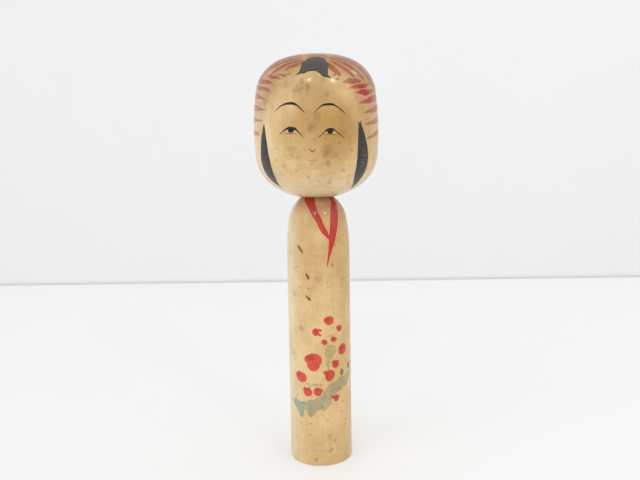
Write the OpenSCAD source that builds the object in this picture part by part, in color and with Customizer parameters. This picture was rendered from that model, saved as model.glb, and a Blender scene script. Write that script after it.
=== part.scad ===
// Wooden kokeshi doll: a slender turned body and a large turned head.
// The head carries a tenon that plugs into a socket in the neck of the body, so the head turns.
// Origin at the centre of the base, +Z up, the doll faces -Y. Millimetres.

/* [Body] */
// Diameter of the straight part of the body
body_d = 37.5; // [35.5:0.1:41]
// Height from the base to the flat top of the neck
body_h = 158.3; // [140:0.1:180]
// Height of the part of the body that curves in towards the neck
shoulder_h = 30.5; // [29:0.5:34]
// Diameter of the flat top of the neck
neck_d = 19.8; // [17.5:0.1:21.5]
// Angle that the body leans in by before the shoulder turns over
lean_angle = 10.7; // [8.5:0.1:11]
// Angle of the shoulder where it meets the neck
shoulder_angle = 52; // [48:1:57]
// Radius of the rounded edge of the base
base_edge_r = 0.8; // [0.3:0.1:2]

/* [Head] */
// Largest diameter of the head
head_d = 73.2; // [72:0.1:74.5]
// Height of the head's outline, from its lowest point to the crown
head_h = 82.7; // [81.5:0.1:84]
// Radius of the flat dome of the crown
crown_r = 98; // [90:1:108]
// Angle from the axis at which the crown's dome ends
crown_angle = 10; // [8:0.5:12]
// Radius of the side of the head, seen from the front
side_r = 170; // [150:1:185]
// Angle from the axis at which the side of the head starts
side_start_angle = 82.3; // [81:0.1:83]
// Angle from the axis at which the side of the head ends
side_end_angle = 94.6; // [93.5:0.1:95.5]
// Angle from the axis at which the cheeks and chin end
chin_end_angle = 148.5; // [146:0.5:152]
// Depth that the seat on the neck is turned into the lowest point of the head
seat_depth = 1.2; // [0.8:0.1:1.6]

/* [Neck joint] */
// Diameter of the tenon under the head
tenon_d = 12; // [9:0.1:14]
// Length of the tenon below the seat
tenon_l = 30; // [18:0.5:40]
// Bevel at the tip of the tenon
tenon_bevel = 1; // [0.5:0.1:2]
// Gap all round between the tenon and the socket
socket_gap = 0.05; // [0.02:0.01:0.1]
// Gap between the tip of the tenon and the bottom of the socket
socket_spare = 2; // [1:0.5:5]
// Bevel at the mouth of the socket
socket_bevel = 0.6; // [0.3:0.1:1.5]
// Gap between the top of the neck and the seat of the head
neck_gap = 0.2; // [0.1:0.05:0.4]

/* [Hidden] */
$fn = 180;
overlap = 1;
seat_z = body_h + neck_gap;
head_z = seat_z - seat_depth;
socket_d = tenon_d + 2 * socket_gap;
socket_depth = tenon_l - neck_gap + socket_spare;

// Point at an angle from the upward axis, on a circle about a centre
function on_arc(centre, r, angle) = centre + r * [sin(angle), cos(angle)];
// Centre of a circle that has a point of its outline at an angle from the upward axis
function arc_centre(point, r, angle) = point - r * [sin(angle), cos(angle)];
// Solution [x, y] of a x + b y = e and c x + d y = f
function solve_pair(a, b, c, d, e, f) = [e * d - b * f, a * f - e * c] / (a * d - b * c);

// Shoulder: two tangent arcs from the straight side up to the neck
shoulder_radii = solve_pair(
    1 - cos(lean_angle), cos(lean_angle) - cos(shoulder_angle),
    sin(lean_angle), sin(shoulder_angle) - sin(lean_angle),
    (body_d - neck_d) / 2, shoulder_h);
lean_r = shoulder_radii[0];
shoulder_r = shoulder_radii[1];
shoulder_z = body_h - shoulder_h;

// Head: five tangent arcs from the crown down to the lowest point
corner_r = (head_d / 2 - crown_r * sin(crown_angle) - side_r * (1 - sin(side_start_angle)))
    / (sin(side_start_angle) - sin(crown_angle));
upper_h = crown_r * (1 - cos(crown_angle))
    + corner_r * (cos(crown_angle) - cos(side_start_angle))
    + side_r * (cos(side_start_angle) - cos(side_end_angle));
chin_radii = solve_pair(
    sin(side_end_angle) - sin(chin_end_angle), sin(chin_end_angle),
    cos(side_end_angle) - cos(chin_end_angle), 1 + cos(chin_end_angle),
    head_d / 2 - side_r * (1 - sin(side_end_angle)), head_h - upper_h);
chin_r = chin_radii[0];
under_r = chin_radii[1];

// The stretch of a round outline between two of its points, filled in to an inner point
module round_stretch(inner, centre, r, from, to) {
    reach = 2;
    intersection() {
        translate(centre) circle(r);
        polygon([inner, inner + reach * (from - inner), inner + reach * (to - inner)]);
    }
}

module body_outline() {
    straight_end = [body_d / 2, shoulder_z];
    lean_centre = arc_centre(straight_end, lean_r, 90);
    lean_end = on_arc(lean_centre, lean_r, 90 - lean_angle);
    shoulder_centre = arc_centre(lean_end, shoulder_r, 90 - lean_angle);
    neck_edge = on_arc(shoulder_centre, shoulder_r, 90 - shoulder_angle);
    edge_centre = [body_d / 2 - base_edge_r, base_edge_r];
    base_edge = [edge_centre[0], 0];
    straight_start = [body_d / 2, base_edge_r];
    polygon([[0, 0], base_edge, straight_start, straight_end, lean_end, neck_edge, [0, body_h]]);
    round_stretch([0, shoulder_z], lean_centre, lean_r, straight_end, lean_end);
    round_stretch([0, shoulder_z], shoulder_centre, shoulder_r, lean_end, neck_edge);
    translate(edge_centre) circle(base_edge_r);
}

module head_outline() {
    crown = [0, head_z + head_h];
    low = [0, head_z];
    middle = [0, head_z + head_h / 2];
    crown_centre = arc_centre(crown, crown_r, 0);
    crown_end = on_arc(crown_centre, crown_r, crown_angle);
    corner_centre = arc_centre(crown_end, corner_r, crown_angle);
    corner_end = on_arc(corner_centre, corner_r, side_start_angle);
    side_centre = arc_centre(corner_end, side_r, side_start_angle);
    side_end = on_arc(side_centre, side_r, side_end_angle);
    chin_centre = arc_centre(side_end, chin_r, side_end_angle);
    chin_end = on_arc(chin_centre, chin_r, chin_end_angle);
    under_centre = arc_centre(low, under_r, 180);
    polygon([crown, crown_end, corner_end, side_end, chin_end, low]);
    round_stretch(middle, crown_centre, crown_r, crown, crown_end);
    round_stretch(middle, corner_centre, corner_r, crown_end, corner_end);
    round_stretch(middle, side_centre, side_r, corner_end, side_end);
    round_stretch(middle, chin_centre, chin_r, side_end, chin_end);
    round_stretch(middle, under_centre, under_r, chin_end, low);
}

// Round bar or hole along the axis, with a bevel at its lower end
module bevelled_bar(d, low_z, high_z, bevel) {
    translate([0, 0, low_z]) cylinder(h = bevel, d1 = d - 2 * bevel, d2 = d);
    translate([0, 0, low_z + bevel]) cylinder(h = high_z - low_z - bevel, d = d);
}

// Turned body with a blind socket for the tenon
module body() {
    color("burlywood") difference() {
        rotate_extrude() body_outline();
        translate([0, 0, body_h - socket_depth]) cylinder(h = socket_depth + overlap, d = socket_d);
        translate([0, 0, body_h - socket_bevel])
            cylinder(h = 2 * socket_bevel, d1 = socket_d, d2 = socket_d + 4 * socket_bevel);
    }
}

// Turned head with the tenon in one piece
module head() {
    color("tan") {
        difference() {
            rotate_extrude() head_outline();
            translate([0, 0, head_z - overlap]) cylinder(h = seat_depth + overlap, d = head_d);
        }
        bevelled_bar(tenon_d, seat_z - tenon_l, seat_z + overlap, tenon_bevel);
    }
}

body();
head();
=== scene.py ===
"""Looks of the kokeshi doll: old waxed wood, painted with dye and ink, on the two turned pieces of the model,
with a camera, a pale floor and wall, and soft studio light around them.

The scene is in metres, in the model's own frame. Inside the materials lengths are in millimetres.
Painted features are placed on charts of the surface, so each point of a brush mark is a place on the doll:
- the body chart is the distance round the body from its front, and the height, in millimetres;
- the face chart is longitude and latitude about the middle of the head, in degrees;
- the crown chart looks down on the head, and its distance from the middle is the angle from the crown.
The doll's own left is +X, on the right of the picture.
"""
import math
from functools import reduce

import bpy
from mathutils import Matrix, Vector


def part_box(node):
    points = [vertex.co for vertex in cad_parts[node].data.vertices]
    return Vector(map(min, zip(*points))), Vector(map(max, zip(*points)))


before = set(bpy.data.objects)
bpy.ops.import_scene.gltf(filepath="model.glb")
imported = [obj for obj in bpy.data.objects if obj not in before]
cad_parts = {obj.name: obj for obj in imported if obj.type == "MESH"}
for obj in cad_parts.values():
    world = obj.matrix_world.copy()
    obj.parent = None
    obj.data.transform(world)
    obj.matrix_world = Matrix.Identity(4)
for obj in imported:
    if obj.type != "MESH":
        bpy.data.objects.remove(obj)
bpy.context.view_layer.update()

MM = 0.001
BODY_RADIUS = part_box("body")[1].x / MM
# Height of the middle of the face chart
HEAD_MIDDLE = 198.0
# Half width of a stroke where the brush is lifted: below zero, so that the soft edge is gone too
BRUSH_END = -0.3


# ---------------------------------------------------------------- shader tools

class Field:
    """A value that varies over the surface: one output of a shader node, with arithmetic."""

    def __init__(self, shader, socket):
        self.shader = shader
        self.socket = socket

    def __add__(self, other):
        return self.shader.math("ADD", self, other)

    def __sub__(self, other):
        return self.shader.math("SUBTRACT", self, other)

    def __rsub__(self, other):
        return self.shader.math("SUBTRACT", other, self)

    def __mul__(self, other):
        return self.shader.math("MULTIPLY", self, other)

    def __abs__(self):
        return self.shader.math("ABSOLUTE", self)


class Shader:
    """The node tree of one material, and short calls that add nodes to it."""

    def __init__(self, name):
        self.material = bpy.data.materials.new(name)
        self.material.use_nodes = True
        self.nodes = self.material.node_tree.nodes
        self.links = self.material.node_tree.links
        self.nodes.clear()

    def put(self, socket, value):
        """Links a field to an input, or sets the input to a plain value."""
        if isinstance(value, Field):
            self.links.new(value.socket, socket)
        else:
            socket.default_value = value

    def add(self, kind, inputs, output=0, **settings):
        """Adds a node with these settings and inputs, and returns one of its outputs."""
        node = self.nodes.new("ShaderNode" + kind)
        for setting, value in settings.items():
            setattr(node, setting, value)
        for key, value in inputs.items():
            self.put(node.inputs[key], value)
        return Field(self, node.outputs[output])

    def show(self, surface):
        """Makes this surface the one that the material shows."""
        output = self.nodes.new("ShaderNodeOutputMaterial")
        self.links.new(surface.socket, output.inputs["Surface"])

    def math(self, operation, *values):
        return self.add("Math", dict(enumerate(values)), operation=operation)

    def vector(self, operation, *values, output=0):
        return self.add("VectorMath", dict(enumerate(values)), output, operation=operation)

    def dot(self, first, second):
        return self.vector("DOT_PRODUCT", first, second, output="Value")

    def place(self):
        """The place on the doll, in millimetres."""
        return self.vector("MULTIPLY", self.add("TexCoord", {}, "Object"), (1 / MM,) * 3)

    def pack(self, x, y, z=0.0):
        return self.add("CombineXYZ", {0: x, 1: y, 2: z})

    def parts(self, vector):
        """The x, y and z of a vector."""
        node = self.add("SeparateXYZ", {0: vector}).socket.node
        return [Field(self, socket) for socket in node.outputs]

    def noise(self, position, size, detail=2.0, rough=0.5, output=0, seed=0.0):
        """Smooth noise about 0.5. size is the breadth of its patches, as a number or for each axis."""
        sizes = size if isinstance(size, tuple) else (size,) * 3
        place = self.vector("MULTIPLY", position, tuple(1 / s for s in sizes))
        inputs = {"Vector": place, "W": seed, "Scale": 1.0, "Detail": detail, "Roughness": rough}
        return self.add("TexNoise", inputs, output, noise_dimensions="4D")

    def ramp(self, value, low, high, start=0.0, end=1.0):
        """Goes smoothly from start to end as value goes from low to high, and stays there."""
        inputs = {"Value": value, "From Min": low, "From Max": high, "To Min": start, "To Max": end}
        return self.add("MapRange", inputs, interpolation_type="SMOOTHSTEP")

    def curve(self, value, points):
        """A smooth curve through points (value, result), level outside them."""
        field = self.add("FloatCurve", {"Value": value})
        mapping = field.socket.node.mapping
        mapping.use_clip = False
        mapping.extend = "HORIZONTAL"
        line = mapping.curves[0].points
        while len(line) < len(points):
            line.new(0.5, 0.5)
        for point, place in zip(line, points):
            point.location = place
        mapping.update()
        return field

    def blend(self, factor, first, second, kind="MIX"):
        """Blends two colours by a factor, as paint layers are blended."""
        node = self.nodes.new("ShaderNodeMix")
        node.data_type = "RGBA"
        node.blend_type = kind
        colours = [socket for socket in node.inputs if socket.type == "RGBA"]
        for socket, value in zip([node.inputs[0], *colours], (factor, first, second)):
            self.put(socket, value)
        result = [socket for socket in node.outputs if socket.type == "RGBA"]
        return Field(self, result[0])

    def dye(self, tone, amount, tint):
        """Lays a see-through dye over a tone. tint is the share of each colour that the dye lets through."""
        return self.blend(amount, tone, (*tint, 1.0), "MULTIPLY")


def colour(red, green, blue):
    """A screen colour from 0 to 255 as the linear colour that shaders use."""
    def linear(value):
        value /= 255
        return value / 12.92 if value <= 0.04045 else ((value + 0.055) / 1.055) ** 2.4
    return (linear(red), linear(green), linear(blue), 1.0)


def nearest(shader, distances):
    """The least of several distances: the union of their shapes."""
    return reduce(lambda least, distance: shader.math("MINIMUM", least, distance), distances)


def strongest(shader, amounts):
    """The greatest of several amounts."""
    return reduce(lambda most, amount: shader.math("MAXIMUM", most, amount), amounts)


# ---------------------------------------------------------------- charts and brush marks

def wander(shader, position, size, amount, seed):
    """A position moved about by noise, which makes the edges of a brush mark uneven."""
    push = shader.noise(position, size, output="Color", seed=seed)
    push = shader.vector("SUBTRACT", push, (0.5, 0.5, 0.5))
    push = shader.add("VectorMath", {0: push, "Scale": 2 * amount}, operation="SCALE")
    return shader.vector("ADD", position, push)


def body_chart(shader, position):
    """Distance round the body from its front, and height."""
    x, y, z = shader.parts(position)
    around = shader.math("ARCTAN2", x, 0 - y)
    return shader.pack(around * BODY_RADIUS, z, 1.0)


def head_angles(shader, position):
    """Longitude from the face and latitude about the middle of the head, in degrees."""
    x, y, z = shader.parts(position)
    out = shader.math("SQRT", x * x + y * y)
    longitude = shader.math("ARCTAN2", x, 0 - y)
    latitude = shader.math("ARCTAN2", z - HEAD_MIDDLE, out)
    return longitude * math.degrees(1), latitude * math.degrees(1)


def face_chart(shader, position):
    """Longitude and latitude."""
    longitude, latitude = head_angles(shader, position)
    return shader.pack(longitude, latitude, 1.0)


def crown_chart(shader, position):
    """The head from above, with the angle from the crown as the distance from the middle."""
    longitude, latitude = head_angles(shader, position)
    out = 90 - latitude
    turn = longitude * math.radians(1)
    return shader.pack(out * shader.math("SINE", turn), 0 - out * shader.math("COSINE", turn), 1.0)


def ribbon(shader, along, across, path):
    """Distance outside a mark about a line. path lists (share of its length, offset across, half width)."""
    middle = shader.curve(along, [(share, offset) for share, offset, _ in path])
    half = shader.curve(along, [(share, width if width else BRUSH_END) for share, _, width in path])
    return abs(across - middle) - half


def stroke(shader, chart, path):
    """Distance outside a brush stroke on a chart, negative inside it.

    path lists (x, y, half width) along the stroke, and a half width of 0 at an end lifts the brush off."""
    (x0, y0, _), (x1, y1, _) = path[0], path[-1]
    length = math.hypot(x1 - x0, y1 - y0)
    # The unit direction from the start to the end. The third number of a chart is 1, for the shift.
    ux, uy = (x1 - x0) / length, (y1 - y0) / length
    along = shader.dot(chart, (ux / length, uy / length, -(x0 * ux + y0 * uy) / length))
    across = shader.dot(chart, (-uy, ux, x0 * uy - y0 * ux))
    local = [(((x - x0) * ux + (y - y0) * uy) / length, (y - y0) * ux - (x - x0) * uy, width)
             for x, y, width in path]
    return ribbon(shader, along, across, local)


def line(shader, chart, points, half):
    """Distance outside a line of even half width through points (x, y), which thins out at its ends."""
    widths = [0.0, *[half] * (len(points) - 2), 0.0]
    return stroke(shader, chart, [(x, y, width) for (x, y), width in zip(points, widths)])


def band(shader, chart, path):
    """Distance outside a level patch. path lists (x, y of the middle, half height) from left to right."""
    x0, x1 = path[0][0], path[-1][0]
    along = shader.dot(chart, (1 / (x1 - x0), 0.0, -x0 / (x1 - x0)))
    across = shader.dot(chart, (0.0, 1.0, 0.0))
    return ribbon(shader, along, across, [((x - x0) / (x1 - x0), y, width) for x, y, width in path])


def dab(shader, chart, x, y, rx, ry, turn=0.0):
    """Distance outside an oval dab of the brush, turned by an angle in degrees."""
    local = shader.add("Mapping", {
        "Vector": chart, "Location": (x, y, 1.0), "Rotation": (0.0, 0.0, math.radians(turn)),
        "Scale": (rx, ry, 1.0)}, vector_type="TEXTURE")
    out = shader.vector("LENGTH", local, output="Value")
    return shader.math("MULTIPLY_ADD", out, min(rx, ry), -min(rx, ry))


def inside(shader, distance, soft):
    """1 inside a mark and 0 outside it, with an edge of this softness."""
    return shader.ramp(distance, -soft, soft, 1.0, 0.0)


def strokes(shader, chart, paths, soft):
    """1 inside any of several brush strokes."""
    return inside(shader, nearest(shader, (stroke(shader, chart, path) for path in paths)), soft)


def dabs(shader, chart, places, soft):
    """1 inside any of several dabs."""
    return inside(shader, nearest(shader, (dab(shader, chart, *place) for place in places)), soft)


# ---------------------------------------------------------------- wood

# The share of each colour that the darkest rings, fibres, mottle and stains keep
RING_TINT = (0.91, 0.87, 0.80)
FIBRE_TINT = (0.88, 0.84, 0.78)
MOTTLE_TINT = (0.87, 0.82, 0.72)
STAIN = (0.52, 0.41, 0.25)
# Gloss of the painted wood, and the weight and roughness of the wax over it
SPECULAR = 0.25
WAX = 0.5
WAX_ROUGH = 0.17


def wood(shader, position, pith, light, dark):
    """Bare aged wood between a light and a dark tone: clouds of patina, growth rings about a pith at (x, y),
    fibres along the grain and a fine mottle.

    Returns its colour, the fibres and the mottle."""
    x, y, _ = shader.parts(position)
    drift = shader.noise(position, (30.0, 30.0, 120.0), 1.0, seed=3.1)
    ring_x = x - pith[0]
    ring_y = y - pith[1]
    ring_r = shader.math("SQRT", ring_x * ring_x + ring_y * ring_y) + drift * 9.0
    rings = shader.noise(shader.pack(ring_r, 0.0, 0.0), 1.5, 2.0, 0.6, seed=7.7)
    fibres = shader.noise(position, (0.5, 0.5, 14.0), 3.0, 0.6, seed=1.3)
    cloud = shader.noise(position, (12.0, 12.0, 17.0), 4.0, 0.6, seed=5.2)
    mottle = shader.noise(position, 3.2, 4.0, 0.65, seed=9.4)
    tone = shader.blend(shader.ramp(cloud, 0.36, 0.64), light, dark)
    tone = shader.dye(tone, shader.ramp(rings, 0.35, 0.75, 0.0, 0.5), RING_TINT)
    tone = shader.dye(tone, shader.ramp(fibres, 0.3, 0.75, 0.0, 0.45), FIBRE_TINT)
    tone = shader.dye(tone, shader.ramp(mottle, 0.46, 0.72, 0.0, 0.7), MOTTLE_TINT)
    return tone, fibres, mottle


def specks(shader, position, size, share, radius, seed):
    """Small dark specks: a share of the cells of this size have one, of up to this radius."""
    place = shader.vector("MULTIPLY", position, (1 / size,) * 3)
    cell = shader.add("TexVoronoi", {"Vector": place, "W": seed, "Scale": 1.0, "Randomness": 1.0},
                      "Distance", voronoi_dimensions="4D")
    luck, _, _ = shader.parts(Field(shader, cell.socket.node.outputs["Color"]))
    limit = shader.ramp(luck, 1 - share, 1.0, 0.0, radius / size)
    return shader.ramp(cell - limit, -0.03, 0.05, 1.0, 0.0)


def stained(shader, tone, place, to_chart, places):
    """Lays soft old stains over a tone, broken up by noise.

    places lists (x, y, radius, strength) on the chart that to_chart makes."""
    chart = to_chart(shader, wander(shader, place, size=3.0, amount=1.6, seed=8.0))
    patches = shader.noise(place, 1.6, detail=3.0, rough=0.6, seed=17.0)
    amounts = (
        shader.ramp(dab(shader, chart, x, y, radius, radius), -0.8 * radius, 0.45 * radius, strength, 0.0)
        for x, y, radius, strength in places)
    amount = strongest(shader, amounts) * shader.ramp(patches, 0.38, 0.58, 0.5, 1.0)
    return shader.dye(tone, amount, STAIN)


def finish(shader, place, tone, fibres, mottle, gloss=1.0):
    """Ends a material: waxed wood with fine lathe rings, raised fibres and uneven roughness.

    gloss is the share of the wax that shows."""
    rings = shader.noise(place, (400.0, 400.0, 0.45), 2.0, 0.6, seed=21.0)
    height = rings * 0.5 + fibres * 0.35 + mottle * 0.4
    bump = shader.add("Bump", {"Strength": 0.25, "Distance": 0.05 * MM, "Height": height})
    rough = shader.ramp(mottle, 0.3, 0.7, 0.36, 0.50)
    surface = shader.add("BsdfPrincipled", {
        "Base Color": tone, "Roughness": rough, "Normal": bump, "Specular IOR Level": SPECULAR,
        "Coat Weight": gloss * WAX, "Coat Roughness": WAX_ROUGH, "Coat Normal": bump})
    shader.show(surface)


# ---------------------------------------------------------------- paint of the body

BODY_PITH = (9.0, 46.0)
BODY_LIGHT = colour(225, 195, 142)
BODY_DARK = colour(212, 180, 125)
# The two tones of the wood on the doll's right, paler there as painted light from the key lamp on that side
BODY_LIT_SIDE_LIGHT = colour(236, 217, 175)
BODY_LIT_SIDE_DARK = colour(226, 204, 162)
# The share of each colour kept by painted shade on the doll's left, away from the key lamp, by the darkening
# towards the foot, by painted shade on the upper half under the head, and by painted shadow of the head with
# a red-brown wash round the neck
LEFT_SHADE = (0.91, 0.87, 0.80)
FOOT_DARKENING = (0.89, 0.87, 0.84)
UPPER_SHADE = (0.87, 0.81, 0.74)
NECK_SHADOW_AND_WASH = (0.68, 0.56, 0.60)

# Dyes, as the share of each colour that they let through
RED = (0.90, 0.122, 0.155)
COLLAR_SHADE = (0.92, 0.50, 0.60)
POOL_SHADE = (0.72, 0.60, 0.60)
BROWN = (0.36, 0.20, 0.15)
OLIVE = (0.62, 0.64, 0.55)
BLUE_GREEN = (0.43, 0.65, 0.77)
GREY_GREEN = (0.58, 0.70, 0.83)
PEN = (0.42, 0.46, 0.46)

# Softness of the edges of brush marks, thin washes, pools of dye, buds, their tips and pen lines
BRUSH_EDGE = 0.14
WASH_EDGE = 0.3
POOL_EDGE = 0.6
BUD_EDGE = 0.2
TIP_EDGE = 0.25
PEN_EDGE = 0.25
# Half widths of the pen lines of the stamens and the twig
PEN_HALF = 0.22
TWIG_HALF = 0.03

# The collar, one stroke for each side: (x, y, half width)
COLLAR = [
    [(-10.5, 162.0, 5.0), (-7.5, 158.5, 4.2), (-3.7, 155.0, 3.2), (-1.0, 150.5, 2.3), (2.0, 145.7, 1.9),
     (4.5, 140.5, 1.8), (6.9, 136.8, 1.1), (8.5, 133.5, 0.0)],
    [(18.5, 161.0, 4.0), (17.4, 157.0, 3.5), (15.4, 154.0, 2.5), (13.4, 149.5, 3.0), (12.2, 144.0, 2.8),
     (10.5, 137.0, 2.3), (9.7, 133.0, 1.9), (8.7, 128.5, 1.2), (7.6, 124.3, 0.65), (6.8, 120.5, 0.35),
     (6.3, 117.5, 0.0)],
]
# The dabs (x, y, radii, turn) that each blossom is pressed with
BLOSSOMS = [
    [(7.2, 87.3, 2.9, 2.7), (5.4, 87.6, 1.6, 1.4)],
    [(13.9, 82.0, 1.9, 1.9), (12.9, 82.6, 1.3, 1.0)],
    [(-0.9, 80.9, 2.0, 2.3), (1.2, 81.9, 1.9, 0.9, -15.0), (0.9, 79.4, 1.7, 0.9, -25.0)],
    [(4.4, 74.6, 1.7, 1.6), (3.4, 75.5, 1.0, 0.9)],
    [(10.0, 75.9, 2.1, 1.5), (9.3, 76.7, 1.2, 1.1)],
    [(16.2, 69.2, 3.0, 3.5, -35.0)],
    [(-2.3, 64.0, 4.9, 4.2), (-5.3, 64.4, 2.9, 2.5), (-2.6, 61.6, 3.9, 4.2)],
    [(10.9, 61.0, 2.4, 2.3), (10.0, 62.5, 1.5, 1.1), (12.3, 62.4, 1.1, 1.0)],
    [(-10.6, 53.3, 4.0, 3.1, -8.0), (-12.2, 54.2, 2.6, 2.4)],
    [(7.5, 55.1, 3.0, 2.9), (6.9, 53.5, 2.5, 2.4), (5.6, 56.1, 2.5, 1.6, -20.0)],
    [(-6.2, 44.6, 2.8, 2.5), (-7.7, 45.8, 1.7, 1.7), (-5.4, 46.6, 0.9, 1.2)],
    [(-0.2, 45.2, 2.5, 2.5), (1.4, 45.9, 1.6, 1.5)],
    [(11.2, 41.0, 2.2, 1.7), (11.1, 39.8, 1.5, 1.4), (9.2, 41.5, 1.6, 0.7)],
    [(26.5, 66.0, 1.2, 2.2)],
]
BROWN_BLOSSOMS = [(15.5, 55.6, 1.5, 2.0), (22.3, 58.0, 1.6, 2.2)]
# Where the dye of a blossom pooled and dried darker
POOLS = [
    (6.4, 87.8, 1.8, 1.5), (13.7, 82.1, 1.3, 1.3), (-0.8, 80.7, 1.5, 1.6), (4.3, 75.0, 1.2, 1.2),
    (9.7, 76.2, 1.3, 0.9), (15.2, 70.2, 1.6, 2.2, -25.0), (-4.6, 65.4, 2.6, 1.6), (10.6, 61.6, 1.3, 1.6),
    (-12.4, 54.5, 1.5, 1.3), (5.9, 54.9, 1.6, 2.0), (-6.8, 46.2, 1.6, 0.8), (-0.3, 46.5, 1.5, 0.7),
    (11.0, 40.7, 1.3, 1.1),
]
# Brown buds up the twig, each one stroke, and their red tips
BUDS = [
    [(-11.5, 131.2, 0.0), (-9.5, 129.0, 0.9), (-7.6, 126.6, 0.0)],
    [(-6.0, 115.0, 0.0), (-5.1, 113.3, 0.95), (-4.1, 111.6, 0.0)],
    [(-6.7, 102.2, 0.0), (-5.0, 100.7, 0.8), (-3.4, 99.3, 0.0)],
]
BUD_TIPS = [(-4.9, 112.4, 0.6, 0.8), (-4.2, 100.0, 0.7, 0.5)]
TWIG = [(-7.8, 127.5), (-6.6, 120.0), (-4.8, 111.0), (-3.3, 99.0), (-0.6, 89.0)]
# The green ground, from the doll's right to its left: (x, y of the middle, half height)
GREEN = [
    (-21.5, 37.8, 0.0), (-15.2, 36.4, 2.5), (-12.8, 35.0, 3.7), (-10.9, 33.6, 4.9), (-9.3, 34.6, 4.0),
    (-8.0, 36.4, 2.6), (-6.3, 35.2, 4.4), (-3.5, 35.4, 5.2), (-1.5, 37.4, 4.1), (2.9, 39.0, 5.3),
    (5.5, 41.5, 6.4), (7.6, 44.3, 5.5), (12.8, 48.2, 3.8), (18.3, 50.0, 3.6), (23.2, 53.0, 1.7),
    (29.0, 55.0, 0.0),
]
# The trunk, from its top down, and the sprout: (x, y, half width)
TRUNK = [
    (8.2, 72.8, 0.0), (7.8, 70.0, 3.4), (6.9, 66.0, 2.2), (6.3, 62.5, 1.4), (6.4, 59.5, 1.0),
    (6.5, 57.0, 0.0),
]
SPROUT = [(-16.0, 37.5, 0.0), (-14.6, 41.0, 0.5), (-13.3, 44.0, 0.0)]
STAMEN_ARCS = [
    [(-6.0, 48.3), (-3.0, 49.3), (1.0, 49.4), (4.8, 48.7)],
    [(3.4, 77.2), (8.3, 78.4), (13.6, 79.2)],
]
# Short stamens across the lower arc: x at the top, and how far the stamen leans
STAMENS = [(-6.4, 1.0), (-4.9, 0.5), (-3.1, 0.2), (-1.5, 0.0), (0.1, 0.0), (1.7, -0.3)]
# The course of a stamen: (share of its lean, height)
STAMEN_COURSE = [(0.0, 51.0), (1 / 3, 50.0), (0.7, 48.9), (1.0, 47.8)]
# Stains: (x, y, radius, strength)
BODY_STAINS = [
    (9.6, 119.6, 1.1, 0.8), (0.9, 111.8, 2.6, 0.55), (7.4, 107.0, 0.9, 0.6), (-15.0, 102.5, 1.6, 0.6),
    (-10.7, 107.2, 1.0, 0.6), (-9.6, 82.0, 1.9, 0.75), (-17.0, 67.0, 3.0, 0.4), (-16.5, 152.5, 2.5, 0.4),
    (6.3, 18.0, 1.8, 0.6), (7.2, 9.5, 1.5, 0.7), (-1.6, 4.0, 1.4, 0.7), (9.4, 15.2, 1.3, 0.6),
    (5.4, 27.5, 1.0, 0.6), (-5.2, 18.7, 0.9, 0.6), (-11.5, 25.2, 0.9, 0.7), (15.1, 31.2, 1.0, 0.7),
    (15.6, 37.2, 0.9, 0.6), (-11.1, 91.2, 1.0, 0.5), (17.0, 111.0, 1.3, 0.5), (-4.8, 31.0, 1.0, 0.5),
]


def darken_body(shader, tone, side, height):
    """Darkens the wood: painted shade on the doll's left and on the upper half, darker towards the foot, and
    painted shadow of the head with a red-brown wash round the neck.
    """
    # Painted shade on the doll's left, away from the key lamp
    tone = shader.dye(tone, shader.ramp(side, 1.0, 16.5), LEFT_SHADE)
    # Darker towards the foot
    tone = shader.dye(tone, shader.ramp(height, 2.0, 38.0, 1.0, 0.0), FOOT_DARKENING)
    # Painted shade on the upper half, under the head
    upper = shader.ramp(height, 75.0, 130.0) * shader.ramp(side, -16.5, -6.0, 0.2, 1.0)
    tone = shader.dye(tone, upper, UPPER_SHADE)
    # Painted shadow of the head round the neck, with a red-brown wash
    neck = shader.ramp(height, 139.0, 156.0) * shader.ramp(side, -16.0, -8.0, 0.3, 1.0)
    return shader.dye(tone, neck, NECK_SHADOW_AND_WASH)


def paint_ground(shader, tone, wash, across, density):
    """The green ground, bluer towards the doll's right, with its olive trunk and sprout."""
    leaf = shader.blend(shader.ramp(across, -13.0, 2.0), (*BLUE_GREEN, 1.0), (*GREY_GREEN, 1.0))
    green = inside(shader, band(shader, wash, GREEN), WASH_EDGE) * shader.ramp(density, 0.25, 0.6, 0.7, 1.0)
    tone = shader.blend(green, tone, leaf, "MULTIPLY")
    olive = strokes(shader, wash, [TRUNK, SPROUT], WASH_EDGE) * shader.ramp(density, 0.25, 0.6, 0.4, 0.9)
    return shader.dye(tone, olive, OLIVE)


def paint_red(shader, tone, chart, wash, density):
    """The collar and the plum blossoms, darker where the dye pooled, and the tips of the buds."""
    presses = [press for blossom in BLOSSOMS for press in blossom]
    collar = strokes(shader, chart, COLLAR, BRUSH_EDGE)
    red = shader.math("MAXIMUM", collar, dabs(shader, chart, presses, BRUSH_EDGE))
    pools = dabs(shader, wash, POOLS, POOL_EDGE)
    tone = shader.dye(tone, red * shader.ramp(density, 0.2, 0.6, 0.9, 1.0), RED)
    tone = shader.dye(tone, collar, COLLAR_SHADE)
    tone = shader.dye(tone, red * pools, POOL_SHADE)
    return shader.dye(tone, dabs(shader, chart, BUD_TIPS, TIP_EDGE) * 0.9, RED)


def paint_brown(shader, tone, chart):
    """The buds and the blossoms that turned brown."""
    brown = nearest(shader, [stroke(shader, chart, path) for path in BUDS])
    brown = nearest(shader, [brown, *[dab(shader, chart, *blossom) for blossom in BROWN_BLOSSOMS]])
    return shader.dye(tone, inside(shader, brown, BUD_EDGE) * 0.9, BROWN)


def draw_pen_lines(shader, tone, chart):
    """The stamens and the long thin twig, in a fine grey line."""
    stamens = [[(x + share * lean, y) for share, y in STAMEN_COURSE] for x, lean in STAMENS]
    pen = nearest(shader, (line(shader, chart, points, PEN_HALF) for points in [*STAMEN_ARCS, *stamens]))
    pen = nearest(shader, [pen, line(shader, chart, TWIG, TWIG_HALF)])
    return shader.dye(tone, inside(shader, pen, PEN_EDGE) * 0.8, PEN)


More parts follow.
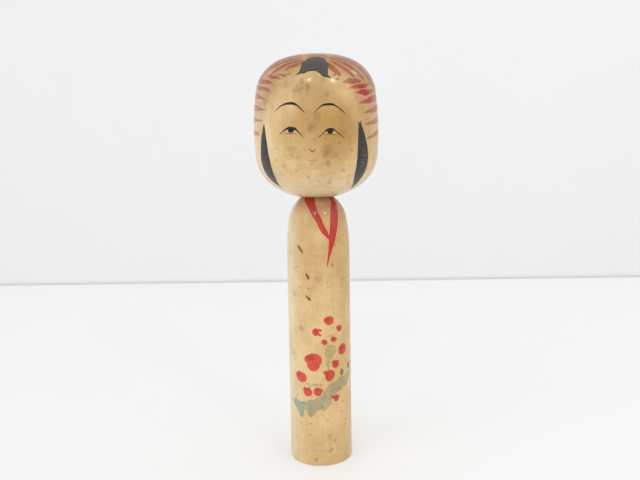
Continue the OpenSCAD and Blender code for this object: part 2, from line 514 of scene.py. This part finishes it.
def body_material():
    shader = Shader("body_wood_painted")
    place = shader.place()
    side, _, _ = shader.parts(place)
    # Painted light: the wood on the doll's right, which faces the key lamp, is paler
    pale = shader.ramp(side, -17.5, -2.0, 0.8, 0.0)
    light = shader.blend(pale, BODY_LIGHT, BODY_LIT_SIDE_LIGHT)
    dark = shader.blend(pale, BODY_DARK, BODY_LIT_SIDE_DARK)
    tone, fibres, mottle = wood(shader, place, BODY_PITH, light, dark)
    chart = body_chart(shader, wander(shader, place, size=1.8, amount=0.25, seed=2.0))
    wash = body_chart(shader, wander(shader, place, size=3.0, amount=0.8, seed=4.0))
    density = shader.noise(place, 3.0, detail=3.0, rough=0.6, seed=11.0)
    across, height, _ = shader.parts(wash)

    tone = darken_body(shader, tone, side, height)
    tone = stained(shader, tone, place, body_chart, BODY_STAINS)
    tone = paint_ground(shader, tone, wash, across, density)
    tone = paint_red(shader, tone, chart, wash, density)
    tone = paint_brown(shader, tone, chart)
    tone = draw_pen_lines(shader, tone, chart)
    dots = specks(shader, place, size=2.3, share=0.5, radius=0.55, seed=1.0)
    tone = shader.dye(tone, dots * 0.85, STAIN)
    finish(shader, place, tone, fibres, mottle)
    return shader.material


# ---------------------------------------------------------------- paint of the head

HEAD_PITH = (-14.0, 40.0)
HEAD_LIGHT = colour(216, 185, 133)
HEAD_DARK = colour(203, 170, 117)
# The two tones of the wood on the doll's right and under the chin, paler there as painted light: from the key
# lamp on the doll's right, and from below under the chin
HEAD_LIT_SIDE_LIGHT = colour(236, 214, 173)
HEAD_LIT_SIDE_DARK = colour(225, 201, 159)

# Dyes, as the share of each colour that they let through
FADED_RED = (0.66, 0.36, 0.28)
FRESH_RED = (0.76, 0.02, 0.02)
HAIR_WASH = (0.66, 0.46, 0.42)
# Inks, which cover the wood
# The lock's ink is its own dark grey with painted sheen of the light from above, so it is greyer than the
# sideburns'
LOCK_INK_AND_SHEEN = colour(70, 66, 63)
SIDE_INK = colour(41, 33, 27)
RIM_INK = colour(38, 33, 30)
RUBBED_INK = colour(140, 102, 78)
LINE_INK = colour(34, 18, 5)
FINE_INK = colour(95, 62, 30)
MOUTH_INK = colour(140, 78, 42)
EYE_WHITE = colour(196, 168, 142)

# Petals of dye at the edge of the face, on the crown chart: (x, y, half width) from the tip to the temple
PETALS = [
    # the doll's left
    [(25.5, -46.5, 0.0), (21.5, -46.0, 1.9), (18.0, -44.5, 2.4), (15.0, -43.0, 2.5), (13.0, -40.5, 0.0)],
    [(27.0, -51.5, 0.0), (31.0, -48.0, 1.2), (34.5, -44.5, 1.9), (39.0, -40.0, 1.7), (43.0, -34.5, 0.0)],
    [(31.5, -54.0, 0.0), (38.0, -47.5, 0.7), (42.0, -42.5, 1.6), (46.0, -37.0, 1.6), (49.5, -28.5, 1.0),
     (51.5, -21.0, 0.0)],
    [(40.5, -52.0, 0.0), (44.5, -46.5, 0.6), (47.5, -42.5, 1.5), (51.0, -37.5, 2.4), (54.0, -32.0, 1.9),
     (56.5, -22.0, 1.5), (57.0, -13.0, 0.0)],
    [(49.5, -53.5, 0.0), (53.5, -47.5, 0.8), (57.5, -40.0, 1.7), (60.5, -31.0, 2.5), (62.5, -22.0, 2.6),
     (63.0, -12.0, 1.7), (61.0, -3.0, 0.0)],
    [(59.5, -55.0, 0.0), (63.5, -47.5, 0.7), (67.0, -38.5, 1.6), (70.0, -30.0, 2.1), (71.0, -20.0, 2.7),
     (71.0, -9.0, 2.1), (68.0, 2.0, 0.0)],
    [(68.0, -59.5, 0.0), (73.0, -51.0, 0.8), (76.5, -42.0, 1.6), (79.5, -31.5, 2.4), (81.0, -22.0, 2.9),
     (80.5, -8.0, 2.6), (76.0, 6.0, 0.0)],
    [(80.5, -62.5, 0.0), (86.5, -49.0, 1.4), (90.5, -35.0, 2.1), (92.5, -21.0, 2.4), (92.0, -5.0, 2.6),
     (86.0, 11.0, 0.0)],
    # the doll's right
    [(-20.5, -43.5, 0.0), (-17.5, -42.5, 1.2), (-14.0, -42.5, 1.6), (-10.0, -42.0, 1.9), (-7.0, -41.0, 1.6),
     (-5.0, -38.5, 0.0)],
    [(-19.5, -49.5, 0.0), (-22.0, -47.0, 0.6), (-25.5, -44.0, 0.7), (-28.0, -41.5, 0.0)],
    [(-24.5, -49.5, 0.0), (-28.0, -45.0, 0.7), (-32.0, -41.0, 1.2), (-35.5, -36.0, 1.1), (-37.5, -31.5, 0.0)],
    [(-33.0, -47.0, 0.0), (-36.5, -42.0, 0.7), (-40.0, -36.5, 1.6), (-44.0, -30.0, 1.9), (-46.5, -21.5, 1.8),
     (-47.0, -14.0, 0.0)],
    [(-38.5, -49.0, 0.0), (-41.5, -44.0, 0.7), (-45.0, -38.0, 1.3), (-48.5, -31.5, 1.6), (-51.5, -22.0, 1.4),
     (-52.5, -14.0, 0.0)],
    [(-47.0, -49.0, 0.0), (-51.0, -42.0, 0.6), (-54.0, -35.0, 1.3), (-57.0, -27.0, 1.9), (-59.5, -17.0, 1.8),
     (-59.5, -7.0, 0.0)],
    [(-50.5, -58.0, 0.0), (-56.5, -50.0, 0.6), (-61.0, -41.5, 1.4), (-65.0, -32.0, 2.4), (-68.0, -20.0, 2.6),
     (-69.0, -10.0, 2.1), (-67.0, 1.0, 0.0)],
    [(-64.0, -56.0, 0.0), (-68.0, -49.0, 0.7), (-72.5, -40.0, 1.2), (-76.0, -31.0, 1.8), (-78.5, -20.0, 2.4),
     (-78.5, -7.0, 2.2), (-75.0, 6.0, 0.0)],
    [(-78.0, -58.0, 0.0), (-81.5, -49.5, 1.0), (-85.5, -38.0, 2.2), (-89.0, -24.0, 2.5), (-89.5, -8.0, 2.5),
     (-85.0, 10.0, 0.0)],
]
# Strands from the temples back to the middle lock, on the crown chart:
# the outer end, the inner end, how far it bows towards the face, the half width
STRANDS = [
    ((37.0, -38.5), (13.0, -37.8), 1.0, 1.7),
    ((45.0, -31.0), (13.0, -34.5), 0.3, 2.2),
    ((55.0, -19.0), (14.0, -30.5), 0.5, 2.6),
    ((59.0, -13.0), (14.0, -25.5), 0.0, 2.7),
    ((64.0, -7.0), (13.0, -19.5), 0.0, 2.9),
    ((71.0, -2.0), (12.0, -13.0), 0.0, 3.0),
    ((79.0, 2.0), (11.0, -6.0), 0.0, 3.1),
    ((89.0, 7.0), (9.0, 1.0), 0.0, 3.2),
    ((-35.5, -36.0), (-6.0, -38.3), 0.6, 1.6),
    ((-46.0, -21.5), (-6.0, -34.2), 3.5, 2.0),
    ((-49.0, -16.5), (-6.0, -29.8), 3.5, 2.1),
    ((-54.5, -13.0), (-6.0, -25.0), 2.5, 2.3),
    ((-61.0, -9.0), (-6.0, -19.5), 1.5, 2.7),
    ((-70.0, -3.0), (-6.0, -13.0), 1.0, 3.0),
    ((-78.0, 1.0), (-6.0, -6.0), 0.5, 3.1),
    ((-88.0, 6.0), (-6.0, 1.0), 0.0, 3.2),
]
# Small brush touches beside the forehead lock, on the face chart
TOUCHES = [
    [(19.5, 37.0), (21.7, 37.3), (24.0, 37.2)],
    [(22.5, 34.2), (24.5, 34.5), (26.5, 34.4)],
    [(-23.0, 38.2), (-20.2, 38.7), (-17.5, 38.0)],
]
# The share of a strand's length and of its half width, from its outer end to its inner end
STRAND_WIDTHS = [(0.0, 0.0), (0.2, 0.9), (0.5, 1.0), (0.85, 0.8), (1.0, 0.0)]
# Petals of the back of the head: the longitude that they start from and their spacing, a distance that
# is outside every mark, and one petal as (angle from the crown, half width)
BACK_START = 99.0
BACK_STEP = 12.5
FAR_OUTSIDE = 50.0
BACK_PETAL = [(14.0, 0.0), (26.0, 1.6), (45.0, 3.0), (68.0, 3.9), (82.0, 2.6), (95.0, 0.0)]

# The rubbed lock that runs back over the crown, on the crown chart: (x, y, half width)
CROWN_LOCK = [
    (4.0, -44.0, 0.0), (4.0, -38.0, 8.0), (4.5, -32.0, 10.0), (4.0, -22.0, 9.5), (2.0, -10.0, 8.0),
    (0.5, 2.0, 6.0), (0.0, 12.0, 0.0),
]
# From here to the stains the marks are on the face chart.
# The black lock over the forehead: (x, y of the middle, half height)
FOREHEAD_LOCK = [
    (-16.5, 37.4, 0.0), (-12.7, 38.1, 0.4), (-10.4, 39.0, 1.0), (-9.5, 41.0, 3.0), (-8.8, 42.8, 4.5),
    (-7.0, 43.7, 5.5), (-4.3, 45.2, 6.5), (0.0, 46.9, 6.9), (5.0, 47.2, 7.3), (10.0, 45.6, 8.6),
    (13.5, 44.4, 8.6), (15.5, 43.5, 7.6), (16.5, 45.5, 4.0), (17.3, 45.7, 1.6), (18.0, 46.0, 0.0),
]
# Strokes of ink: (x, y, half width)
LOCK_TAIL = [(10.0, 37.4, 0.0), (12.5, 36.7, 1.2), (14.5, 36.4, 1.1), (16.5, 35.8, 0.8), (19.3, 34.5, 0.0)]
SIDEBURNS = [
    [(-47.6, 3.0, 0.0), (-47.8, 0.0, 1.5), (-48.2, -4.0, 2.6), (-49.0, -13.0, 4.9), (-49.5, -23.0, 6.6),
     (-50.5, -33.0, 7.8), (-51.2, -39.0, 7.4), (-51.7, -45.0, 5.6), (-51.3, -50.0, 2.6), (-50.5, -54.5, 0.0)],
    [(45.2, 2.0, 0.0), (45.5, -1.0, 2.0), (47.0, -7.5, 3.9), (48.5, -15.0, 5.6), (50.2, -24.5, 7.3),
     (52.0, -33.0, 7.8), (54.3, -41.5, 6.6), (57.5, -48.5, 4.3), (61.0, -54.0, 2.2), (65.0, -58.5, 0.0)],
    [(43.7, 3.5, 0.0), (44.2, 0.0, 0.6), (45.0, -4.0, 0.0)],
    [(46.5, 4.0, 0.0), (46.5, 0.0, 0.7), (46.5, -4.0, 0.0)],
]
BROWS = [
    [(-35.6, 9.7, 0.0), (-30.5, 13.7, 0.45), (-25.5, 16.2, 0.63), (-21.0, 17.2, 0.88), (-17.5, 17.3, 1.08),
     (-14.3, 16.7, 1.08), (-11.5, 15.4, 0.83), (-8.8, 13.2, 0.73), (-6.4, 10.8, 0.53), (-4.5, 8.6, 0.0)],
    [(0.2, 6.3, 0.0), (5.0, 11.0, 0.4), (8.5, 13.8, 0.6), (12.0, 15.3, 0.85), (15.5, 15.7, 0.95),
     (19.0, 15.4, 0.9), (22.0, 14.3, 0.63), (25.3, 12.2, 0.63), (28.2, 10.0, 0.53), (31.0, 7.4, 0.0)],
]
LIDS = [
    [(-31.0, -9.2, 0.0), (-27.0, -6.8, 0.37), (-24.0, -4.8, 0.6), (-21.0, -3.4, 0.95), (-18.0, -2.8, 1.15),
     (-14.5, -3.4, 1.1), (-11.7, -5.2, 0.8), (-8.7, -8.3, 0.45), (-4.6, -12.9, 0.0)],
    [(5.7, -11.8, 0.0), (8.6, -9.4, 0.42), (11.0, -7.3, 0.47), (13.0, -5.7, 0.85), (15.5, -4.7, 1.05),
     (18.2, -4.7, 1.05), (20.2, -5.3, 0.67), (22.3, -7.0, 0.52), (25.0, -8.7, 0.42), (27.5, -10.6, 0.32),
     (29.8, -12.1, 0.0)],
]
EYES = [
    [(-22.5, -6.2, 0.0), (-20.0, -5.6, 0.8), (-17.0, -5.2, 1.3), (-14.0, -5.9, 1.0), (-12.0, -6.9, 0.5),
     (-10.8, -7.6, 0.0)],
    [(11.0, -8.2, 0.0), (13.2, -7.4, 0.8), (16.0, -7.0, 1.2), (19.0, -7.2, 1.1), (21.5, -8.1, 0.5),
     (23.0, -8.6, 0.0)],
]
# Dabs: (x, y, radii)
PUPILS = [(-17.2, -4.7, 2.9, 2.0), (16.3, -6.5, 2.6, 1.9)]
LOWER_LIDS = [
    [(-25.0, -8.0), (-20.6, -7.2), (-15.3, -7.4), (-10.4, -8.4)],
    [(10.4, -9.6), (13.5, -8.8), (20.5, -8.9), (24.0, -9.7)],
]
NOSE = [(-3.4, -19.0, 0.0), (-0.9, -20.9, 0.5), (0.9, -21.8, 0.8), (2.7, -21.2, 0.55), (4.9, -19.0, 0.0)]
MOUTH = [
    [(-4.9, -27.8), (-2.0, -28.5), (3.0, -28.9), (6.2, -28.3)],
    [(-1.2, -30.8), (1.0, -31.1), (3.3, -31.0)],
]
# Stains: (x, y, radius, strength)
HEAD_STAINS = [
    (-9.2, 28.2, 4.2, 0.7), (-2.5, 28.5, 3.0, 0.7), (-14.0, 26.0, 1.8, 0.7), (-7.0, 32.5, 2.2, 0.6),
    (-22.0, 32.0, 3.2, 0.5), (-42.0, 28.0, 2.2, 0.5), (-47.0, 21.0, 3.5, 0.4), (-56.0, 20.0, 2.5, 0.4),
    (5.6, 6.0, 3.6, 0.5), (0.3, -3.5, 4.2, 0.6), (-17.5, -21.5, 6.0, 0.55), (-11.0, -25.0, 4.0, 0.5),
    (13.5, -22.0, 6.0, 0.7), (20.0, -24.5, 3.6, 0.5), (15.0, -31.0, 3.0, 0.7), (-4.0, -42.5, 2.2, 0.6),
    (19.0, -48.0, 2.5, 0.6), (6.0, -46.5, 1.1, 0.7), (42.0, -48.5, 3.0, 0.4), (30.7, -37.0, 1.9, 0.8),
    (37.0, -21.0, 1.7, 0.6), (-26.5, -32.5, 2.2, 0.5), (-14.0, -36.0, 1.8, 0.5), (-33.0, -27.5, 1.5, 0.5),
    (82.0, -37.0, 3.0, 0.5), (70.0, -27.0, 2.5, 0.4), (39.0, 33.5, 2.0, 0.5), (14.5, 23.5, 2.6, 0.4),
    (10.5, 33.3, 2.0, 0.4),
]

# Where the dye of the hair has bled into the wood: (longitude either way, latitude near its edge)
HAIRLINE = [
    (0.0, 47.0), (12.0, 40.0), (18.0, 36.0), (28.0, 31.0), (37.0, 22.0), (44.0, 8.0), (51.0, -5.0),
    (60.0, -12.0), (80.0, -8.0), (180.0, 0.0),
]
# Painted shade on the face, darker and browner, on the doll's left cheek away from the key lamp and on the
# forehead: (longitude, latitude, radii), and the share of each colour that they keep
SHADED_PATCHES = [
    ((17.0, -2.0, 42.0, 29.0), (0.69, 0.56, 0.30)),
    ((-8.0, 28.0, 28.0, 13.0), (0.80, 0.78, 0.72)),
]
# Where the petals have kept a fresh red, on the crown chart: (x, y, radii, turn)
FRESH_PATCH = (51.0, -39.0, 15.0, 8.5, 31.0)
# Where the sideburn on the doll's left is chafed: (longitude, latitude, radii)
CHAFED_PATCH = (51.5, -27.0, 5.0, 13.0)

# Softness of the edges of the marks: petals, locks and mouth, black lines, fine lines
DYE_EDGE = 0.3
INK_EDGE = 0.25
LINE_EDGE = 0.16
FINE_EDGE = 0.2
# Half widths of the touches of the hair, the lower lids and the mouth
TOUCH_HALF = 0.7
LOWER_LID_HALF = 0.4
MOUTH_HALF = 0.25


def strand_path(outer, inner, bow, half):
    """A strand on the crown chart as the path of a stroke."""
    path = []
    for share, width in STRAND_WIDTHS:
        x = outer[0] + share * (inner[0] - outer[0])
        y = outer[1] + share * (inner[1] - outer[1]) - 4 * bow * share * (1 - share)
        path.append((x, y, width * half))
    return path


def back_petals(shader, position):
    """Distance outside the petals that fan out over the back of the head, from one petal repeated."""
    longitude, latitude = head_angles(shader, position)
    out = 90 - latitude
    turned = shader.math("PINGPONG", 180 - abs(longitude), BACK_STEP / 2)
    widths = [(angle / 100, width if width else BRUSH_END) for angle, width in BACK_PETAL]
    half = shader.curve(out * 0.01, widths)
    front = shader.ramp(abs(longitude), BACK_START - 1, BACK_START, FAR_OUTSIDE, 0.0)
    return turned * out * math.radians(1) - half + front


def shade_face(shader, tone, face):
    """Painted shade: the darker, browner patches of the face, on the doll's left cheek and on the forehead.
    """
    for patch, tint in SHADED_PATCHES:
        radius = patch[3]
        shaded = shader.ramp(dab(shader, face, *patch), -0.8 * radius, 9.0, 1.0, 0.0)
        tone = shader.dye(tone, shaded, tint)
    return tone


def hair_marks(shader, loose, crown, face):
    """Distance outside every mark of the red hair."""
    petals = nearest(shader, (stroke(shader, crown, path) for path in PETALS))
    strands = nearest(shader, (stroke(shader, crown, strand_path(*strand)) for strand in STRANDS))
    touches = nearest(shader, (line(shader, face, points, TOUCH_HALF) for points in TOUCHES))
    return nearest(shader, [petals, strands, touches, back_petals(shader, loose)])


def wash_hair(shader, tone, longitude, latitude, density):
    """The pale red that has bled into the wood between the marks of the hair, with an uneven edge."""
    hairline = shader.curve(abs(longitude) * (1 / 180), [(angle / 180, edge) for angle, edge in HAIRLINE])
    bleed = shader.ramp(latitude - hairline + density * 20.0, 2.0, 26.0)
    bleed = bleed * shader.ramp(latitude, -10.0, 38.0, 0.3, 0.9)
    return shader.dye(tone, bleed * shader.ramp(density, 0.3, 0.7, 0.75, 1.0), HAIR_WASH)


def rub_crown(shader, tone, crown, latitude, scuff):
    """What is left of the lock of ink that ran back over the crown."""
    rubbed = shader.ramp(stroke(shader, crown, CROWN_LOCK), -7.0, 3.0, 0.9, 0.0)
    rubbed = rubbed * shader.ramp(scuff, 0.35, 0.7, 1.0, 0.7)
    rubbed = rubbed * shader.ramp(latitude, 38.0, 46.0)
    return shader.blend(rubbed, tone, RUBBED_INK)


def dye_hair(shader, tone, marks, crown, density):
    """The red marks of the hair, faded but for a patch at the doll's left temple."""
    fresh = shader.ramp(dab(shader, crown, *FRESH_PATCH), -5.0, 3.0, 1.0, 0.0)
    tint = shader.blend(fresh, (*FADED_RED, 1.0), (*FRESH_RED, 1.0))
    amount = inside(shader, marks, DYE_EDGE) * shader.ramp(density, 0.2, 0.6, 0.75, 1.0)
    return shader.blend(amount, tone, tint, "MULTIPLY")


def ink_locks(shader, tone, face, latitude, scuff):
    """The black sideburns and forehead lock, scuffed, with a darker rim where the ink dried, and painted
    sheen that greys the ink towards the top.
    """
    ink = nearest(shader, (stroke(shader, face, path) for path in [*SIDEBURNS, LOCK_TAIL]))
    ink = nearest(shader, [ink, band(shader, face, FOREHEAD_LOCK)])
    black = inside(shader, ink, INK_EDGE) * shader.ramp(scuff, 0.58, 0.74, 1.0, 0.7)
    chafed = shader.ramp(dab(shader, face, *CHAFED_PATCH), -4.0, 0.0, 1.0, 0.0)
    black = black - chafed * shader.ramp(scuff, 0.50, 0.66, 0.0, 0.35)
    # Painted sheen: the ink greys towards the top of the head, where it faces the light from above
    pigment = shader.blend(shader.ramp(latitude, 0.0, 38.0), SIDE_INK, LOCK_INK_AND_SHEEN)
    pigment = shader.blend(shader.ramp(ink, -1.6, -0.2, 0.0, 0.7), pigment, RIM_INK)
    return shader.blend(black, tone, pigment)


def draw_face(shader, tone, face):
    """The eyes, brows, nose and mouth. Returns the tone, and 1 on the lines of black ink."""
    tone = shader.blend(strokes(shader, face, EYES, FINE_EDGE) * 0.6, tone, EYE_WHITE)
    lines = nearest(shader, (stroke(shader, face, path) for path in [*BROWS, *LIDS]))
    lines = nearest(shader, [lines, *[dab(shader, face, *pupil) for pupil in PUPILS]])
    drawn = inside(shader, lines, LINE_EDGE)
    tone = shader.blend(drawn, tone, LINE_INK)
    fine = nearest(shader, (line(shader, face, points, LOWER_LID_HALF) for points in LOWER_LIDS))
    fine = nearest(shader, [fine, stroke(shader, face, NOSE)])
    tone = shader.blend(inside(shader, fine, FINE_EDGE) * 0.75, tone, FINE_INK)
    mouth = nearest(shader, (line(shader, face, points, MOUTH_HALF) for points in MOUTH))
    return shader.blend(inside(shader, mouth, INK_EDGE) * 0.6, tone, MOUTH_INK), drawn


def head_material():
    shader = Shader("head_wood_painted")
    place = shader.place()
    face = face_chart(shader, wander(shader, place, size=2.0, amount=0.14, seed=6.0))
    longitude, latitude, _ = shader.parts(face)
    side, _, _ = shader.parts(place)
    # Painted light: paler wood under the chin, lit from below, and on the doll's right, which faces the key
    # lamp
    chin = shader.ramp(latitude, -62.0, -30.0, 0.85, 0.0)
    pale = shader.math("MAXIMUM", shader.ramp(side, -31.0, -12.0, 0.85, 0.0), chin)
    light = shader.blend(pale, HEAD_LIGHT, HEAD_LIT_SIDE_LIGHT)
    dark = shader.blend(pale, HEAD_DARK, HEAD_LIT_SIDE_DARK)
    tone, fibres, mottle = wood(shader, place, HEAD_PITH, light, dark)
    loose = wander(shader, place, size=2.4, amount=0.28, seed=2.0)
    crown = crown_chart(shader, loose)
    density = shader.noise(place, 3.0, detail=3.0, rough=0.6, seed=11.0)

    tone = shade_face(shader, tone, face)
    tone = stained(shader, tone, place, face_chart, HEAD_STAINS)
    marks = hair_marks(shader, loose, crown, face)
    tone = wash_hair(shader, tone, longitude, latitude, density)
    scuff = shader.noise(place, 1.3, detail=3.0, rough=0.7, seed=31.0)
    tone = rub_crown(shader, tone, crown, latitude, scuff)
    tone = dye_hair(shader, tone, marks, crown, density)
    tone = ink_locks(shader, tone, face, latitude, scuff)
    tone, drawn = draw_face(shader, tone, face)
    large = specks(shader, place, size=3.8, share=0.4, radius=0.7, seed=1.0)
    small = specks(shader, place, size=2.4, share=0.35, radius=0.45, seed=4.0)
    tone = shader.dye(tone, shader.math("MAXIMUM", large, small) * 0.5, STAIN)
    finish(shader, place, tone, fibres, mottle, shader.ramp(drawn, 0.0, 1.0, 1.0, 0.1))
    return shader.material


for name, material in (("body", body_material()), ("head", head_material())):
    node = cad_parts[name]
    node.data.materials[0] = material


# ---------------------------------------------------------------- studio

# A point at the foot of the wall, behind the doll, and the wall's turn about it
WALL_FOOT = Vector((-0.052, 0.642, 0.0))
WALL_TURN = math.radians(3.3)
# Half the breadth of the wall and floor, how far the floor comes forward, and the height of the wall
WIDE = 3.0
DEEP = 4.0
HIGH = 2.5
# A thin grey strip at the foot of the wall, a painted shadow where the floor meets the wall: its height, and
# how far it stands off the wall
SHADOW_LINE_HEIGHT = 0.0035
SHADOW_LINE_OUT = 0.001
WHITE = (1.0, 1.0, 1.0, 1.0)

along_wall = Vector((math.cos(WALL_TURN), math.sin(WALL_TURN), 0.0))
to_front = Vector((math.sin(WALL_TURN), -math.cos(WALL_TURN), 0.0))
up = Vector((0.0, 0.0, 1.0))


def plain(name, shade, rough, glow=0.0):
    """A matt material with a barely uneven shade. glow is the light that it gives off itself."""
    shader = Shader(name)
    uneven = shader.noise(shader.add("TexCoord", {}, "Object"), 0.25)
    tone = shader.blend(uneven, (shade * 1.01,) * 3 + (1.0,), (shade * 0.99,) * 3 + (1.0,))
    shader.show(shader.add("BsdfPrincipled", {
        "Base Color": tone, "Roughness": rough, "Emission Color": WHITE, "Emission Strength": glow}))
    return shader.material


def sheet(name, start, first, second, material):
    """A flat stage surface: a parallelogram from a corner along two edges."""
    corners = [start, start + first, start + first + second, start + second]
    mesh = bpy.data.meshes.new(name)
    mesh.from_pydata(corners, [], [(0, 1, 2, 3)])
    mesh.materials.append(material)
    obj = bpy.data.objects.new(name, mesh)
    bpy.context.scene.collection.objects.link(obj)


wall_end = WALL_FOOT - WIDE * along_wall
breadth = 2 * WIDE * along_wall
sheet("floor", wall_end, breadth, DEEP * to_front, plain("pale_floor", 0.62, 0.7, 0.3))
sheet("wall", wall_end, breadth, HIGH * up, plain("pale_wall", 0.83, 0.8))
# Painted shadow: a grey strip along the foot of the wall
sheet("wall_foot_shadow", wall_end + SHADOW_LINE_OUT * to_front, breadth, SHADOW_LINE_HEIGHT * up, plain("painted_shadow_grey", 0.68, 0.8))


# Lamps: azimuth and elevation in degrees, distance and diameter in metres, power in watts.
# The sparks are small lamps that put the bright spots on the wax.
LAMPS = {
    "key": (-45, 30, 1.8, 1.5, 6.0),
    "fill": (70, 25, 1.8, 1.2, 3.0),
    "low": (0, -2, 1.5, 0.8, 2.2),
    "spark_middle": (-8, 33, 1.2, 0.09, 1.3),
    "spark_left": (39, 31, 1.2, 0.09, 1.3),
    "spark_right": (-42, 15, 1.2, 0.16, 0.3),
    "spark_high": (108, 42, 1.2, 0.12, 0.7),
}
LAMP_COLOUR = (1.0, 0.995, 0.985)
SKY_COLOUR = (0.98, 0.99, 1.0, 1.0)
SKY_STRENGTH = 0.73


def lamp(name, azimuth, elevation, distance, size, power):
    """A round lamp that the doll's head sees at an azimuth, turned from -Y to +X, and an elevation."""
    light = bpy.data.lights.new(name, "AREA")
    light.shape = "DISK"
    light.size = size
    light.energy = power
    light.color = LAMP_COLOUR
    turn = math.radians(azimuth)
    tilt = math.radians(elevation)
    flat = math.cos(tilt)
    direction = Vector((math.sin(turn) * flat, -math.cos(turn) * flat, math.sin(tilt)))
    obj = bpy.data.objects.new(name, light)
    obj.location = Vector((0, 0, HEAD_MIDDLE * MM)) + distance * direction
    obj.rotation_euler = (-direction).to_track_quat("-Z", "Y").to_euler()
    obj.visible_camera = False
    bpy.context.scene.collection.objects.link(obj)


for name, settings in LAMPS.items():
    lamp(name, *settings)

scene = bpy.context.scene
scene.view_settings.view_transform = "Standard"
world = bpy.data.worlds.new("studio")
world.use_nodes = True
sky = world.node_tree.nodes["Background"].inputs
sky["Color"].default_value = SKY_COLOUR
sky["Strength"].default_value = SKY_STRENGTH
scene.world = world

# ---------------------------------------------------------------- camera

# The camera's turn about the doll from the front, in degrees, its distance from the axis and its height
CAMERA_TURN = 4.6
CAMERA_OUT = 0.359
CAMERA_HEIGHT = 0.1671
# How far it looks down and past the axis to one side, and how far it is tilted, in degrees
CAMERA_PITCH = 5.5
CAMERA_YAW = 0.183
CAMERA_ROLL = 0.95
LENS = 33.75
SENSOR = 36.0

camera = bpy.data.cameras.new("camera")
camera.sensor_width = SENSOR
camera.lens = LENS
camera_obj = bpy.data.objects.new("camera", camera)
turn = math.radians(CAMERA_TURN)
look = (Matrix.Rotation(turn - math.radians(CAMERA_YAW), 4, "Z")
        @ Matrix.Rotation(math.radians(90 - CAMERA_PITCH), 4, "X")
        @ Matrix.Rotation(-math.radians(CAMERA_ROLL), 4, "Z"))
place = Vector((CAMERA_OUT * math.sin(turn), -CAMERA_OUT * math.cos(turn), CAMERA_HEIGHT))
camera_obj.matrix_world = Matrix.Translation(place) @ look
scene.collection.objects.link(camera_obj)
scene.camera = camera_obj
